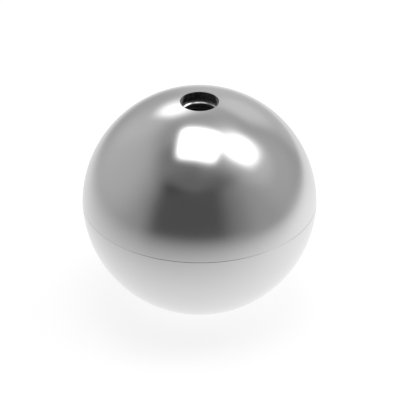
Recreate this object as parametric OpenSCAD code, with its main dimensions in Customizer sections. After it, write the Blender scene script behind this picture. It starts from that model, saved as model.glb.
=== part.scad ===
// Hollow steel ball with a threaded bush, as used on studs, rods and posts.
//
// Each half is a drawn cap with its rim faced off, so the two caps meet at the equator in a
// very shallow crease. A bush is seated against the inside of the upper cap, under its hole.
// The origin is on the axis in the plane where the halves meet. +Z points out of the hole.

/* [Ball] */
// Outside diameter of the sphere that both halves are drawn to
ball_d = 50; // [36:1:100]
// Wall thickness of the drawn halves
wall_t = 2; // [1:0.1:3]
// Height faced off each half's rim, short of a full hemisphere
rim_trim = 0.5; // [0.1:0.05:1]
// Width of the small chamfer on each half's outer rim edge
rim_chamfer = 0.06; // [0.02:0.01:0.3]

/* [Thread] */
// Nominal diameter of the stud that screws in
thread_d = 8; // [6:0.5:10]
// Pitch of the thread
thread_pitch = 0.75; // [0.75:0.25:1.25]
// Radial clearance of the stud in the upper half's hole
hole_clearance = 0.1; // [0.05:0.05:0.5]

/* [Bush] */
// Outside diameter of the bush
bush_d = 14; // [12:0.5:18]
// Length of the bush below the edge of its domed seat
bush_l = 12; // [8:0.5:14]
// Gap between the bush's domed seat and the inside of the upper half
seat_gap = 0.05; // [0:0.01:0.2]
// How far the relief above the thread is wider than the thread, on the radius
relief_over = 0.4; // [0.1:0.05:0.8]
// Depth of the relief's straight wall below the seat's own edge
relief_depth = 0.05; // [0.05:0.05:0.5]
// Point angle of the drill that leaves the conical ledge at the bottom of the relief
drill_point = 140; // [118:1:150]
// Chamfer on the lower end of the bush, inside and outside
bush_chamfer = 0.6; // [0.2:0.1:1]

/* [Hidden] */
$fn = 128;

outer_r = ball_d / 2;
inner_r = outer_r - wall_t;
// Radius of the outer edge where the two faced rims meet
rim_r = sqrt(pow(outer_r, 2) - pow(rim_trim, 2));

hole_r = thread_d / 2 + hole_clearance;
// Tapping size: nominal diameter less one pitch
core_r = (thread_d - thread_pitch) / 2;
relief_r = thread_d / 2 + relief_over;

bush_r = bush_d / 2;
seat_r = inner_r - seat_gap;
// Height of the domed seat at the bush's outer edge and at the relief's edge
seat_edge_z = cap_height(seat_r, bush_r);
relief_edge_z = cap_height(seat_r, relief_r);
bush_bottom_z = seat_edge_z - bush_l;
// The relief's straight wall ends here, and the drill's cone starts
ledge_z = relief_edge_z - relief_depth;
// Height of the relief drill's whole point, of which the thread's core leaves the outer part
drill_tip = relief_r / tan(drill_point / 2);

// Spare length that lets a cutter run clear of the faces it cuts
over = 1;

// Height of a cap's sphere of radius r above the seam plane, at distance x from the axis
function cap_height(r, x) = sqrt(pow(r, 2) - pow(x, 2)) - rim_trim;

// The sphere of a cap: its centre lies below the seam plane by the height that was faced off
module cap_sphere(r) {
    translate([0, 0, -rim_trim]) sphere(r = r);
}

// A drawn half with its rim faced flat in the seam plane, and its outer rim edge chamfered
module drawn_half() {
    difference() {
        cap_sphere(outer_r);
        cap_sphere(inner_r);
        translate([0, 0, -outer_r - rim_trim - over])
            cylinder(r = outer_r + over, h = outer_r + rim_trim + over);
        rim_edge_cutter();
    }
}

// Ring with a 45 degree face through the rim's outer edge, one chamfer width inwards
module rim_edge_cutter() {
    rotate_extrude()
        polygon([
            [rim_r - 2 * rim_chamfer, -rim_chamfer],
            [rim_r + rim_chamfer, -rim_chamfer],
            [rim_r + rim_chamfer, 2 * rim_chamfer]
        ]);
}

// The relief drill: it leaves the straight wall and the conical ledge above the thread's core
module relief_cutter() {
    rotate_extrude()
        polygon([
            [0, ledge_z - drill_tip],
            [relief_r, ledge_z],
            [relief_r, outer_r],
            [0, outer_r]
        ]);
}

// Chamfers on the bush's lower end: a ring outside and a cone into the thread's core
module bush_end_cutter() {
    rotate_extrude()
        polygon([
            [bush_r - bush_chamfer - over, bush_bottom_z - over],
            [bush_r + over, bush_bottom_z - over],
            [bush_r + over, bush_bottom_z + bush_chamfer + over]
        ]);
    translate([0, 0, bush_bottom_z - over])
        cylinder(r1 = core_r + bush_chamfer + over, r2 = core_r, h = bush_chamfer + over);
}

module upper_half_shell() {
    color("silver")
    difference() {
        drawn_half();
        cylinder(r = hole_r, h = outer_r + over);
    }
}

module lower_half_shell() {
    color("lightgray")
    mirror([0, 0, 1])
        drawn_half();
}

module threaded_bush() {
    color("darkgray")
    difference() {
        intersection() {
            cap_sphere(seat_r);
            translate([0, 0, bush_bottom_z])
                cylinder(r = bush_r, h = outer_r);
        }
        translate([0, 0, bush_bottom_z - over])
            cylinder(r = core_r, h = outer_r + over);
        relief_cutter();
        bush_end_cutter();
    }
}

upper_half_shell();
lower_half_shell();
threaded_bush();
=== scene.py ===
"""Looks of a hollow steel ball: two polished half shells, and a threaded bush inside the hole.

Lengths are metres, or mm where a comment says so, in the CAD model's own frame. The ball's axis is
Z, and its hole faces +Z.
"""
import math

import bpy
import numpy as np
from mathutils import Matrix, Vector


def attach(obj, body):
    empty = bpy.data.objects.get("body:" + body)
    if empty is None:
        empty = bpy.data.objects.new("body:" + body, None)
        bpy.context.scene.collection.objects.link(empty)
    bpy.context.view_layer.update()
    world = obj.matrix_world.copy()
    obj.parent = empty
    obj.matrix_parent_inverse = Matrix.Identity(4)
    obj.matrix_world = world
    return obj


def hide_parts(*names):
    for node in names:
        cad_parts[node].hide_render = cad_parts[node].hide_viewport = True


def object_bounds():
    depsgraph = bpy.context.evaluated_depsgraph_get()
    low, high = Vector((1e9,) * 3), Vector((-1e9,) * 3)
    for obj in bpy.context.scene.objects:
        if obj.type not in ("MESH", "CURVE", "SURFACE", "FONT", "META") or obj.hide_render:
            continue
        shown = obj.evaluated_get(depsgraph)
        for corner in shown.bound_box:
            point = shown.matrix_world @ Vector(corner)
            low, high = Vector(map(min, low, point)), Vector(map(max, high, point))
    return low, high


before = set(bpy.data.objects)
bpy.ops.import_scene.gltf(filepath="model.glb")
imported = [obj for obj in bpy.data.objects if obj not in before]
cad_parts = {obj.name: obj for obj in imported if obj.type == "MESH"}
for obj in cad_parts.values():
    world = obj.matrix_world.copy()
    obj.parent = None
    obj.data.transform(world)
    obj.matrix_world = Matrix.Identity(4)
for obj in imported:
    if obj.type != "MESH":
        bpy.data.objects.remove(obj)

cad_low, cad_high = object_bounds()

MM = 0.001
WHITE = (1, 1, 1, 1)

# Half shells, in mm: the sizes of the CAD model
OUTER_R = 25.0
INNER_R = 23.0
RIM_TRIM = 0.5
RIM_CHAMFER = 0.06
HOLE_R = 4.1
EDGE_BREAK = 0.07

# Bush, in mm
BUSH_R = 7.0
BUSH_L = 12.0
SEAT_R = 22.95
CORE_R = 3.625
RELIEF_R = 4.4
RELIEF_DEPTH = 0.05
DRILL_POINT = math.radians(140)
BUSH_CHAMFER = 0.6
THREAD_R = 4.0
THREAD_PITCH = 0.75

# The thread's flats, as shares of the pitch
ROOT_FLAT = 1 / 8
CREST_FLAT = 1 / 4

# Points round a turn, and rows of the profiles
SHELL_TURN = 384
BUSH_TURN = 192
OUTSIDE_ROWS = 110
INSIDE_ROWS = 70
HOLE_WALL_ROWS = 12
BROKEN_EDGE_ROWS = 9
SEAT_ROWS = 14
BUSH_SIDE_ROWS = 6
LEDGE_ROWS = 6
FLAT_ROWS = 3
THREAD_ROWS_PER_PITCH = 20
EDGE_CROWDING = 0.9

# Edges that turn by more than this stay sharp in the shading
SHARP_EDGE = math.radians(20)

# A difference of less than this many mm is none
TINY = 1e-6

# The ball rests on the floor, whose height is in metres
FLOOR_Z = cad_low.z


# ---------------------------------------------------------------- colour and node helpers

def hex_colour(code):
    """An sRGB hex colour as linear RGBA: c / 12.92 up to 0.04045, else ((c + 0.055) / 1.055) ^ 2.4."""
    parts = [int(code[i:i + 2], 16) / 255 for i in (1, 3, 5)]
    return [c / 12.92 if c <= 0.04045 else ((c + 0.055) / 1.055) ** 2.4 for c in parts] + [1.0]


SMOOTH = {"interpolation_type": "SMOOTHSTEP"}


def add_node(tree, kind, sockets=(), **settings):
    """A new shader node with its settings, and what its sockets take, by name or in their order.

    A socket takes a number, a colour or vector, an output, or a node, for that node's first output.
    """
    node = tree.nodes.new("ShaderNode" + kind)
    for name, value in settings.items():
        setattr(node, name, value)
    named = sockets.items() if isinstance(sockets, dict) else enumerate(sockets)
    for socket, value in named:
        if isinstance(value, bpy.types.Node):
            value = value.outputs[0]
        if isinstance(value, bpy.types.NodeSocket):
            tree.links.new(value, node.inputs[socket])
        else:
            node.inputs[socket].default_value = value
    return node


def new_material(name):
    """A material with an empty node tree, and the tree."""
    material = bpy.data.materials.new(name)
    material.use_nodes = True
    material.node_tree.nodes.clear()
    return material, material.node_tree


# ---------------------------------------------------------------- surfaces

def line(start, end, rows=2):
    """Straight stretch of a profile: rows points (radius, height) evenly from start to end."""
    t = np.linspace(0, 1, rows)[:, None]
    return np.array(start) * (1 - t) + np.array(end) * t


def arc(radius, centre_z, from_angle, to_angle, rows, crowd=(0, 1)):
    """Stretch of a circle round (0, centre_z): points (radius sin a, centre_z + radius cos a).

    Angles are measured down from the pole. Towards an edge the rows crowd to a tenth of the even
    step, so that the shading stays true right up to it: the run is a tenth even and nine tenths a
    cosine. crowd is the cosine's part of a half turn: (0, 1) crowds both ends, (0.5, 1) only the
    last and (0, 0.5) only the first.
    """
    even = np.linspace(0, 1, rows)
    cosine = np.cos(math.pi * np.linspace(*crowd, rows))
    crowded = (cosine[0] - cosine) / (cosine[0] - cosine[-1])
    a = from_angle + (to_angle - from_angle) * (even + EDGE_CROWDING * (crowded - even))
    return np.stack([radius * np.sin(a), centre_z + radius * np.cos(a)], axis=1)


def revolved(name, profile, turns=SHELL_TURN, radial=None, closed=True):
    """Surface of revolution. Point (i, j) is (r cos t, r sin t, z), with t = 2 pi j / turns.

    profile gives (r, z) in mm for each row i, outwards on the left hand of its run. radial(t, r, z)
    may change r round a row. A row of no radius becomes one vertex at the pole. A closed profile
    joins its last row to its first.
    """
    t = np.arange(turns) * (2 * math.pi / turns)
    r = np.repeat(profile[:, :1], turns, axis=1)
    z = np.repeat(profile[:, 1:], turns, axis=1)
    if radial is not None:
        r = radial(t[None, :], r, z)
    pole = profile[:, 0] < TINY
    points = np.stack([r * np.cos(t), r * np.sin(t), z], axis=2) * MM
    counts = np.where(pole, 1, turns)
    first = np.concatenate([[0], np.cumsum(counts)])
    keep = np.ones(r.shape, bool)
    keep[pole, 1:] = False
    vertices = points[keep]
    index = first[:-1, None] + np.where(pole[:, None], 0, np.arange(turns)[None, :])

    rows = len(profile)
    above = np.arange(rows if closed else rows - 1)
    below = (above + 1) % rows
    on_axis = pole[above] & pole[below]
    above, below = above[~on_axis], below[~on_axis]
    a, b = index[above], index[below]
    quads = np.stack([a, b, np.roll(b, -1, axis=1), np.roll(a, -1, axis=1)], axis=2)
    top, bottom = pole[above], pole[below]
    faces = quads[~(top | bottom)].reshape(-1, 4).tolist()
    faces += quads[top][:, :, [0, 1, 2]].reshape(-1, 3).tolist()
    faces += quads[bottom][:, :, [0, 1, 3]].reshape(-1, 3).tolist()

    mesh = bpy.data.meshes.new(name)
    mesh.from_pydata(vertices.tolist(), [], faces)
    mesh.polygons.foreach_set("use_smooth", np.ones(len(mesh.polygons), bool))
    mesh.set_sharp_from_angle(angle=SHARP_EDGE)
    mesh.validate()
    mesh.update()
    piece = bpy.data.objects.new(name, mesh)
    bpy.context.collection.objects.link(piece)
    return piece


def joined(*stretches):
    """A closed profile from stretches, each of which ends at the point where the next one starts."""
    return np.concatenate([s[:-1] for s in stretches])


def polar(radius, at_r):
    """Angle from the pole at which a circle of this radius is at_r from the axis."""
    return math.asin(at_r / radius)


def cap_z(radius, at_r):
    """Height over the seam of the cap's sphere, whose centre is one rim trim below the seam."""
    return math.sqrt(radius ** 2 - at_r ** 2) - RIM_TRIM


RIM_R = math.sqrt(OUTER_R ** 2 - RIM_TRIM ** 2)
INNER_RIM_R = math.sqrt(INNER_R ** 2 - RIM_TRIM ** 2)


def chamfer_edge():
    """Radius and height at which the 45 degree rim chamfer leaves the ball's outer sphere.

    The chamfer's line r = c + z meets the circle r^2 + (z + trim)^2 = R^2 at the upper root of
    z^2 + (c + trim) z + (c^2 + trim^2 - R^2) / 2 = 0.
    """
    c = RIM_R - RIM_CHAMFER
    half = (c + RIM_TRIM) / 2
    z = math.sqrt(half ** 2 - (c ** 2 + RIM_TRIM ** 2 - OUTER_R ** 2) / 2) - half
    return c + z, z


CHAMFER_TOP_R, CHAMFER_TOP_Z = chamfer_edge()


def half_profile(hole_r):
    """Profile of the upper half: outside from hole to rim, chamfer, rim, inside back to the hole."""
    rim_angle = math.acos((CHAMFER_TOP_Z + RIM_TRIM) / OUTER_R)
    at_hole = hole_r > 0
    outside = arc(OUTER_R, -RIM_TRIM, polar(OUTER_R, hole_r), rim_angle,
                  OUTSIDE_ROWS, (0 if at_hole else 0.5, 1))
    inside = arc(INNER_R, -RIM_TRIM, math.acos(RIM_TRIM / INNER_R), polar(INNER_R, hole_r),
                 INSIDE_ROWS, (0, 1 if at_hole else 0.5))
    chamfer = line((CHAMFER_TOP_R, CHAMFER_TOP_Z), (RIM_R - RIM_CHAMFER, 0))
    rim = line((RIM_R - RIM_CHAMFER, 0), (INNER_RIM_R, 0), FLAT_ROWS)
    stretches = [outside, chamfer, rim, inside]
    if at_hole:
        break_top = cap_z(INNER_R, hole_r) + EDGE_BREAK
        wall = line((hole_r, break_top), (hole_r, cap_z(OUTER_R, hole_r)), HOLE_WALL_ROWS)
        t = np.linspace(0, math.pi / 2, BROKEN_EDGE_ROWS)[:, None]
        corner = (hole_r + EDGE_BREAK, break_top)
        broken = np.array(corner) - EDGE_BREAK * np.concatenate([np.sin(t), np.cos(t)], axis=1)
        return joined(*stretches[:-1], inside[:-1], broken, wall)
    return np.concatenate([joined(*stretches), inside[-1:]])


def thread_cut(t, r, z):
    """Right-hand thread in the bush's core: the wall moves out by a V of z / pitch - t / 2 pi.

    The V is flat at its root and at its crest. It fades in over a pitch from each end of the core,
    as the tap's lead-in leaves it.
    """
    phase = z / THREAD_PITCH - t / (2 * math.pi)
    from_root = 2 * np.abs(phase - np.floor(phase) - 0.5)
    depth = np.clip((1 - CREST_FLAT - from_root) / (1 - CREST_FLAT - ROOT_FLAT), 0, 1)
    from_end = np.minimum(z - CORE_LOW_Z, CORE_HIGH_Z - z) / THREAD_PITCH
    fade = np.clip(from_end, 0, 1)
    return r + (THREAD_R - CORE_R) * depth * fade * (r < CORE_R + TINY)


SEAT_EDGE_Z = cap_z(SEAT_R, BUSH_R)
RELIEF_EDGE_Z = cap_z(SEAT_R, RELIEF_R)
LEDGE_Z = RELIEF_EDGE_Z - RELIEF_DEPTH
CORE_HIGH_Z = LEDGE_Z - (RELIEF_R - CORE_R) / math.tan(DRILL_POINT / 2)
BUSH_LOW_Z = SEAT_EDGE_Z - BUSH_L
CORE_LOW_Z = BUSH_LOW_Z + BUSH_CHAMFER


def bush_profile():
    """Profile of the bush: domed seat, outside, lower end, core, conical ledge, relief wall.

    The lower end's outer and inner chamfers are alike, so both start at the core's lower end.
    """
    thread_rows = int((CORE_HIGH_Z - CORE_LOW_Z) / THREAD_PITCH * THREAD_ROWS_PER_PITCH)
    return joined(
        arc(SEAT_R, -RIM_TRIM, polar(SEAT_R, RELIEF_R), polar(SEAT_R, BUSH_R), SEAT_ROWS),
        line((BUSH_R, SEAT_EDGE_Z), (BUSH_R, CORE_LOW_Z), BUSH_SIDE_ROWS),
        line((BUSH_R, CORE_LOW_Z), (BUSH_R - BUSH_CHAMFER, BUSH_LOW_Z)),
        line((BUSH_R - BUSH_CHAMFER, BUSH_LOW_Z), (CORE_R + BUSH_CHAMFER, BUSH_LOW_Z), FLAT_ROWS),
        line((CORE_R + BUSH_CHAMFER, BUSH_LOW_Z), (CORE_R, CORE_LOW_Z)),
        line((CORE_R, CORE_LOW_Z), (CORE_R, CORE_HIGH_Z), thread_rows),
        line((CORE_R, CORE_HIGH_Z), (RELIEF_R, LEDGE_Z), LEDGE_ROWS),
        line((RELIEF_R, LEDGE_Z), (RELIEF_R, RELIEF_EDGE_Z), FLAT_ROWS),
    )


upper_half = revolved("upper_half_polished", half_profile(HOLE_R))
mirrored_half = half_profile(0) * (1, -1)
lower_half = revolved("lower_half_polished", mirrored_half[::-1], closed=False)
bush = revolved("bush_threaded", bush_profile(), BUSH_TURN, thread_cut)

for piece, node, slot in ((upper_half, "upper_half_shell", "polished_shell"),
                          (lower_half, "lower_half_shell", "polished_shell"),
                          (bush, "threaded_bush", "turned_bush")):
    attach(piece, "root")
    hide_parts(node)


# ---------------------------------------------------------------- finishes

# Haze from the polishing wheel: size of its patches in mm, and the part of the noise it follows
HAZE_SIZE = 6.25
HAZE_SPAN = (0.3, 0.7)

# Rings from the turning tool: step and depth in mm, and how strongly they show
RING_STEP = 0.12
RING_DEPTH = 0.002
RING_STRENGTH = 0.1

# How far past the inner radius drawn steel ends and polished steel starts, in mm
DRAWN_TO, POLISHED_FROM = 0.02, 0.04

# Painted shade in the tapped core, in mm: its radius, its fade there, and the height over which it
# fades under the ledge
PAINTED_SHADE_R = 4.1
PAINTED_SHADE_FADE = 0.05
PAINTED_SHADE_EDGE = 0.06

# Roughness of each finish, and of the core under its painted shade
POLISHED_ROUGHNESS = (0.16, 0.18)
DRAWN_ROUGHNESS = 0.45
TURNED_ROUGHNESS = 0.18
SHADED_CORE_ROUGHNESS = 0.9


def polished_stainless():
    """Stainless steel, drawn and polished to a soft mirror, and left as drawn inside the ball.

    It mirrors the studio in a neutral grey with slightly soft edges, and the last polishing grit
    leaves a faint change of haze. The inside, which shows through the bush, is dull and darker.
    """
    material, tree = new_material("polished_stainless")
    place = add_node(tree, "TexCoord").outputs["Object"]
    haze = add_node(tree, "TexNoise", {"Vector": place, "Scale": 1 / (HAZE_SIZE * MM),
                                       "Detail": 2.0, "Roughness": 0.5}).outputs["Fac"]
    polish = add_node(tree, "MapRange", (haze, *HAZE_SPAN, *POLISHED_ROUGHNESS), **SMOOTH)

    # Distance from the centre of the half's own sphere, which lies one rim trim past the seam
    x, y, z = add_node(tree, "SeparateXYZ", (place,)).outputs
    from_seam = add_node(tree, "Math", (z,), operation="ABSOLUTE")
    past_seam = add_node(tree, "Math", (from_seam, RIM_TRIM * MM), operation="ADD")
    in_half = add_node(tree, "CombineXYZ", (x, y, past_seam))
    from_centre = add_node(tree, "VectorMath", (in_half,), operation="LENGTH").outputs["Value"]
    inside = add_node(tree, "MapRange", (from_centre, (INNER_R + DRAWN_TO) * MM,
                                         (INNER_R + POLISHED_FROM) * MM, 1.0, 0.0), **SMOOTH)

    colour = add_node(tree, "Mix", {0: inside, 6: hex_colour("#E4E4E4"), 7: hex_colour("#A8A8A8")},
                      data_type="RGBA").outputs[2]
    rough = add_node(tree, "MapRange", (inside, 0.0, 1.0, polish, DRAWN_ROUGHNESS))
    shader = add_node(tree, "BsdfPrincipled",
                      {"Metallic": 1.0, "Base Color": colour, "Roughness": rough})
    add_node(tree, "OutputMaterial", {"Surface": shader})
    return material


def turned_stainless():
    """Stainless steel, turned and tapped: duller than the shells, with fine rings from the tool.

    The tapped core is painted a darker grey and made matt: painted shade deep in the hole.
    """
    material, tree = new_material("turned_stainless")
    place = add_node(tree, "TexCoord").outputs["Object"]
    height = add_node(tree, "SeparateXYZ", (place,)).outputs["Z"]
    turns = add_node(tree, "Math", (height, 2 * math.pi / (RING_STEP * MM)), operation="MULTIPLY")
    rings = add_node(tree, "Math", (turns,), operation="SINE")
    bump = add_node(tree, "Bump", {"Strength": RING_STRENGTH, "Distance": RING_DEPTH * MM,
                                   "Height": rings})

    # Painted shade: 1 in the thread and its lead-in, below the ledge and within its root
    across = add_node(tree, "VectorMath", (place, (1, 1, 0)), operation="MULTIPLY")
    reach = add_node(tree, "VectorMath", (across,), operation="LENGTH").outputs["Value"]
    below = add_node(tree, "MapRange", (height, (CORE_HIGH_Z - PAINTED_SHADE_EDGE) * MM,
                                        CORE_HIGH_Z * MM, 1.0, 0.0), **SMOOTH)
    within = add_node(tree, "MapRange", (reach, (PAINTED_SHADE_R - PAINTED_SHADE_FADE) * MM,
                                         (PAINTED_SHADE_R + PAINTED_SHADE_FADE) * MM, 1.0, 0.0), **SMOOTH)
    painted_core_shade = add_node(tree, "Math", (below, within), operation="MULTIPLY")

    # Painted shade: the core mixes to a darker grey and turns matt
    colour = add_node(tree, "Mix", {0: painted_core_shade, 6: hex_colour("#DADADA"), 7: hex_colour("#6C6C6C")},
                      data_type="RGBA").outputs[2]
    rough = add_node(tree, "MapRange", (painted_core_shade, 0.0, 1.0, TURNED_ROUGHNESS, SHADED_CORE_ROUGHNESS))
    shader = add_node(tree, "BsdfPrincipled", {"Metallic": 1.0, "Base Color": colour,
                                               "Roughness": rough, "Normal": bump})
    add_node(tree, "OutputMaterial", {"Surface": shader})
    return material


polished = polished_stainless()
for piece in (upper_half, lower_half):
    piece.data.materials.append(polished)
bush.data.materials.append(turned_stainless())


# ---------------------------------------------------------------- studio

SOFTBOX_DISTANCE = 0.8
FLOOR_SIZE = 3.0

# The ball's soft shadow, in metres from its axis, and the share of the paper that keeps it. The
# lamps light white paper to 1 / WHITE_OVER_LIT of white
SHADOW_FULL, SHADOW_END = 0.08, 0.35
SHADOW_SHARE = 0.2
WHITE_OVER_LIT = 1.5

# Softboxes: azimuth and elevation of the middle as seen from the ball, rotation as X, Y, Z angles,
# width and depth in degrees, share of each that fades out towards the rim, brightness in the middle
SOFTBOXES = {
    "overhead_softbox": (0, 90, (-10, 1, 169), 42, 42, 0.5, 0.5, 3.5),
    "right_softbox": (94, 55, (31, 18, 94), 40, 44, 1, 1, 3),
    "back_softbox": (200, 40, (71, -38, 160), 51, 36, 1, 1, 1.4),
}

# Walls and ceiling, as the brightness of what the ball mirrors, where 1 is white. The rest are the
# azimuths and elevations between which one level gives way to the next, in degrees. LEFT and RIGHT
# are counted from DARK_MIDDLE
DARK_SIDE = 0.19
DARK_MIDDLE = 9
LEFT_FROM, LEFT_TO = 48, 78
RIGHT_FROM, RIGHT_TO = 20, 57
WALL_LEFT, WALL_RIGHT, WALL_BACK = 0.32, 0.34, 0.43
SIDES_MEET = 40
BACK_FROM, BACK_TO = 90, 180
WALL_TOP, CEILING_FROM = 42, 62
CEILING_FRONT_TO, CEILING_SIDES_FROM = 20, 90
CEILING_FRONT = 0.37
CEILING_LEFT, CEILING_RIGHT, CEILING_BACK = 0.24, 0.74, 0.34

# Standing panels: middle azimuth, half width, its fade, top, its fade, and light added or taken
PANELS = {
    "pale_back_panel": (162, 14, 17, 33, 9, 0.12),
    "dark_front_flag": (-11, 26, 22, 38, 8, -0.105),
}

# Soft round reflectors and gaps: azimuth, elevation, radius, amount
REFLECTORS = {
    "round_right_softbox": (90, 45, 30, 0.14),
    "behind_right": (155, 25, 20, 0.13),
    "left": (-110, 20, 50, 0.16),
    "left_front_gap": (-45, 60, 30, -0.08),
    "round_back_softbox": (210, 30, 30, 0.05),
    "ceiling_gap": (30, 75, 40, -0.2),
    "low_right": (100, 20, 35, 0.08),
}

# Pool of light on the floor, in metres from the ball's axis
POOL_MIDDLE = (0.03, 0.06)
POOL_HALF_LIGHT = (0.115, 0.125)
POOL_FALL = 2.3
POOL_LEVEL = 1.16
FAR_FLOOR = 0.17

# Softer light and shade in the pool: x and y of the middle, radius, amount
POOL_PATCHES = {
    "lit_front": (-0.01, 0.01, 0.06, 0.11),
    "ball_shade": (0.03, 0.095, 0.12, -0.45),
    "right_shade": (0.195, -0.055, 0.18, -0.09),
}


def direction(azimuth, elevation):
    """Unit vector towards a place in the studio. Azimuth 0 is the camera's side, 90 the right."""
    a, e = math.radians(azimuth), math.radians(elevation)
    return np.array([math.sin(a) * math.cos(e), -math.cos(a) * math.cos(e), math.sin(e)])


def softbox(name, azimuth, elevation, rotation, width, depth, fade_x, fade_y, level):
    """An area lamp with a cloth that is dimmer towards its rim, as bright as level in the middle.

    Its power is level * pi * area, because a lamp of power P and area A has the radiance P / (pi A).
    """
    data = bpy.data.lights.new(name, "AREA")
    data.shape = "RECTANGLE"
    data.size = 2 * SOFTBOX_DISTANCE * math.tan(math.radians(width / 2))
    data.size_y = 2 * SOFTBOX_DISTANCE * math.tan(math.radians(depth / 2))
    data.energy = level * math.pi * data.size * data.size_y

    data.use_nodes = True
    tree = data.node_tree
    tree.nodes.clear()
    cloth = add_node(tree, "NewGeometry").outputs["Parametric"]
    shares = []
    for place, fade in zip(add_node(tree, "SeparateXYZ", (cloth,)).outputs, (fade_x, fade_y)):
        # 0 in the middle of the cloth, 1 at the rim
        signed = add_node(tree, "Math", (place, 2.0, -1.0), operation="MULTIPLY_ADD")
        outwards = add_node(tree, "Math", (signed,), operation="ABSOLUTE")
        shares.append(add_node(tree, "MapRange", (outwards, 1 - fade, 1.0, 1.0, 0.0), **SMOOTH))
    strength = add_node(tree, "Math", shares, operation="MULTIPLY")
    glow = add_node(tree, "Emission", {"Color": WHITE, "Strength": strength})
    add_node(tree, "OutputLight", {"Surface": glow})

    lamp = bpy.data.objects.new(name, data)
    bpy.context.collection.objects.link(lamp)
    lamp.location = direction(azimuth, elevation) * SOFTBOX_DISTANCE
    lamp.rotation_euler = [math.radians(a) for a in rotation]
    lamp.visible_camera = False


for name, values in SOFTBOXES.items():
    softbox(name, *values)


def compass(tree, x, y):
    """Azimuth in degrees of a direction or place: 0 is the camera's side, 90 the right."""
    forward = add_node(tree, "Math", (y, -1.0), operation="MULTIPLY")
    angle = add_node(tree, "Math", (x, forward), operation="ARCTAN2")
    return add_node(tree, "Math", (angle, 180 / math.pi), operation="MULTIPLY")


def all_round(tree, azimuth, left, right, back):
    """A level that is left or right of the camera and back behind the ball."""
    side = add_node(tree, "MapRange", (azimuth, -SIDES_MEET, SIDES_MEET, left, right), **SMOOTH)
    off_front = add_node(tree, "Math", (azimuth,), operation="ABSOLUTE")
    return add_node(tree, "MapRange", (off_front, BACK_FROM, BACK_TO, side, back), **SMOOTH)


def wall_level(tree, azimuth):
    """The walls' level all round: dark on the camera's side, and paler to the left and right."""
    off_dark = add_node(tree, "Math", (azimuth, DARK_MIDDLE), operation="SUBTRACT")
    to_left = add_node(tree, "MapRange", (off_dark, -LEFT_FROM, -LEFT_TO, 0.0, 1.0), **SMOOTH)
    to_right = add_node(tree, "MapRange", (off_dark, RIGHT_FROM, RIGHT_TO, 0.0, 1.0), **SMOOTH)
    lift = add_node(tree, "Math", (to_left, to_right), operation="ADD")
    pale = all_round(tree, azimuth, WALL_LEFT, WALL_RIGHT, WALL_BACK)
    return add_node(tree, "MapRange", (lift, 0.0, 1.0, DARK_SIDE, pale))


def panel(tree, azimuth, elevation, middle, half, fade, top, top_fade):
    """1 on a standing panel, within half of its middle azimuth and below its top, 0 past its fade."""
    turned = add_node(tree, "Math", (azimuth, middle), operation="SUBTRACT")
    wrapped = add_node(tree, "Math", (turned, 180.0, -180.0), operation="WRAP")
    off = add_node(tree, "Math", (wrapped,), operation="ABSOLUTE")
    across = add_node(tree, "MapRange", (off, half, half + fade, 1.0, 0.0), **SMOOTH)
    upwards = add_node(tree, "MapRange", (elevation, top, top + top_fade, 1.0, 0.0), **SMOOTH)
    return add_node(tree, "Math", (across, upwards), operation="MULTIPLY")


def studio_level(tree, towards):
    """Brightness of the studio in a direction: its walls and ceiling, panels and reflectors."""
    x, y, z = add_node(tree, "SeparateXYZ", (towards,)).outputs
    azimuth = compass(tree, x, y)
    angle = add_node(tree, "Math", (z,), operation="ARCSINE")
    elevation = add_node(tree, "Math", (angle, 180 / math.pi), operation="MULTIPLY")
    off_front = add_node(tree, "Math", (azimuth,), operation="ABSOLUTE")
    sides = all_round(tree, azimuth, CEILING_LEFT, CEILING_RIGHT, CEILING_BACK)
    ceiling = add_node(tree, "MapRange", (off_front, CEILING_FRONT_TO, CEILING_SIDES_FROM,
                                          CEILING_FRONT, sides), **SMOOTH)
    walls = wall_level(tree, azimuth)
    level = add_node(tree, "MapRange", (elevation, WALL_TOP, CEILING_FROM, walls, ceiling), **SMOOTH)
    for *edges, amount in PANELS.values():
        share = panel(tree, azimuth, elevation, *edges)
        level = add_node(tree, "Math", (share, amount, level), operation="MULTIPLY_ADD")
    for azimuth_at, elevation_at, radius, amount in REFLECTORS.values():
        middle = direction(azimuth_at, elevation_at)
        near = add_node(tree, "VectorMath", (towards, middle), operation="DOT_PRODUCT")
        rim = math.cos(math.radians(radius))
        glow = add_node(tree, "MapRange", (near.outputs["Value"], rim, 1.0, 0.0, amount), **SMOOTH)
        level = add_node(tree, "Math", (level, glow), operation="ADD")
    return level


def studio_surround():
    """Grey walls and ceiling round the ball, and a dark side where the camera stands."""
    world = bpy.data.worlds.new("studio_surround")
    bpy.context.scene.world = world
    world.use_nodes = True
    tree = world.node_tree
    tree.nodes.clear()
    level = studio_level(tree, add_node(tree, "TexCoord").outputs["Generated"])
    studio = add_node(tree, "Background", {"Color": WHITE, "Strength": level})
    white = add_node(tree, "Background", {"Color": WHITE, "Strength": 1.0})
    seen = add_node(tree, "LightPath").outputs["Is Camera Ray"]
    shown = add_node(tree, "MixShader", (seen, studio, white))
    add_node(tree, "OutputWorld", {"Surface": shown})


studio_surround()


def distance(tree, place, x, y, reach_x=1.0, reach_y=1.0):
    """Distance on the floor from (x, y), in metres or as a share of a reach along X and along Y."""
    off = add_node(tree, "Mapping", {"Vector": place, "Location": (x, y, FLOOR_Z),
                                     "Scale": (reach_x, reach_y, 1.0)}, vector_type="TEXTURE")
    return add_node(tree, "VectorMath", (off,), operation="LENGTH").outputs["Value"]


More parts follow.
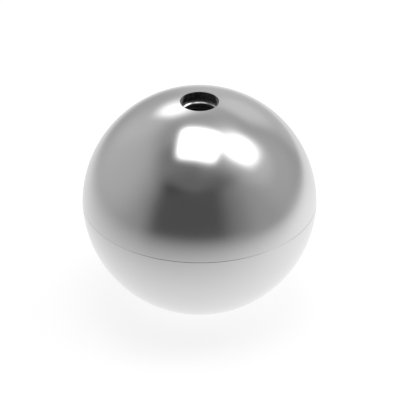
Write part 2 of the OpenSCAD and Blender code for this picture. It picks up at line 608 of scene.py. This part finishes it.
def floor_light(tree, place):
    """How bright the ball sees the floor at a place."""
    # Pool of light round a spot behind the ball: 1 / (1 + d^fall), with d = 1 where it has halved
    from_middle = distance(tree, place, *POOL_MIDDLE, *POOL_HALF_LIGHT)
    spread = add_node(tree, "Math", (from_middle, POOL_FALL), operation="POWER")
    divisor = add_node(tree, "Math", (spread, 1.0), operation="ADD")
    level = add_node(tree, "Math", (POOL_LEVEL, divisor), operation="DIVIDE")
    # Softer light and shade in the pool
    for x, y, radius, amount in POOL_PATCHES.values():
        off = distance(tree, place, x, y, radius, radius)
        patch = add_node(tree, "MapRange", (off, 0.0, 1.0, amount, 0.0), **SMOOTH)
        level = add_node(tree, "Math", (level, patch), operation="ADD")
    # Far off, the floor sweeps up into the wall and takes d^2 / (d^2 + 1) of the level there
    from_ball = distance(tree, place, 0, 0, FAR_FLOOR, FAR_FLOOR)
    away = add_node(tree, "Math", (from_ball, 2.0), operation="POWER")
    divisor = add_node(tree, "Math", (away, 1.0), operation="ADD")
    share = add_node(tree, "Math", (away, divisor), operation="DIVIDE")
    flat = add_node(tree, "VectorMath", (place, (1, 1, 0)), operation="MULTIPLY")
    outwards = add_node(tree, "VectorMath", (flat,), operation="NORMALIZE")
    at_wall = studio_level(tree, outwards)
    return add_node(tree, "Math", (share, at_wall, level), operation="MULTIPLY_ADD")


def paper_floor():
    """Matt white paper floor. The ball sees on it a pool of light that falls off with distance."""
    mesh = bpy.data.meshes.new("paper_floor")
    half = FLOOR_SIZE / 2
    corners = [(x * half, y * half, FLOOR_Z) for x, y in ((-1, -1), (1, -1), (1, 1), (-1, 1))]
    mesh.from_pydata(corners, [], [(0, 1, 2, 3)])
    floor = bpy.data.objects.new("paper_floor", mesh)
    bpy.context.collection.objects.link(floor)
    material, tree = new_material("white_paper")
    place = add_node(tree, "TexCoord").outputs["Object"]
    mirrored = add_node(tree, "Emission", {"Color": WHITE, "Strength": floor_light(tree, place)})

    # The camera sees white paper. Near the ball a share of it is lit and keeps the shadow
    from_ball = distance(tree, place, 0, 0)
    lit = add_node(tree, "MapRange",
                   (from_ball, SHADOW_FULL, SHADOW_END, SHADOW_SHARE, 0.0), **SMOOTH)
    unlit = add_node(tree, "Math", (1.0, lit), operation="SUBTRACT")
    glow = add_node(tree, "Emission", {"Color": WHITE, "Strength": unlit})
    white = add_node(tree, "Math", (lit, WHITE_OVER_LIT), operation="MULTIPLY")
    shaded = add_node(tree, "BsdfDiffuse", {"Color": white})
    shown = add_node(tree, "AddShader", (glow, shaded))
    paper = add_node(tree, "BsdfDiffuse", {"Color": hex_colour("#F2F2F2")})
    path = add_node(tree, "LightPath").outputs
    seen = add_node(tree, "MixShader", (path["Is Camera Ray"], paper, shown))
    surface = add_node(tree, "MixShader", (path["Is Glossy Ray"], seen, mirrored))
    add_node(tree, "OutputMaterial", {"Surface": surface})
    # Mirrored rays find the paper by themselves. A light sample would miss the pool
    material.cycles.emission_sampling = "NONE"
    mesh.materials.append(material)


paper_floor()


# ---------------------------------------------------------------- camera

CAMERA_ELEVATION = 31.45
CAMERA_DISTANCE = 0.6375
LENS = 268.4
AIM = (0.00010, 0.0, -0.00005)


def set_camera():
    """Long lens from the front, a third of the way up. It looks along +Y and down at the ball."""
    data = bpy.data.cameras.new("camera")
    data.lens = LENS
    data.sensor_width = 36.0
    data.clip_start = 0.01
    data.clip_end = 20.0
    camera = bpy.data.objects.new("camera", data)
    bpy.context.collection.objects.link(camera)
    camera.location = direction(0, CAMERA_ELEVATION) * CAMERA_DISTANCE + np.array(AIM)
    camera.rotation_euler = (math.radians(90 - CAMERA_ELEVATION), 0, 0)
    bpy.context.scene.camera = camera


set_camera()

scene = bpy.context.scene
scene.view_settings.view_transform = "Standard"
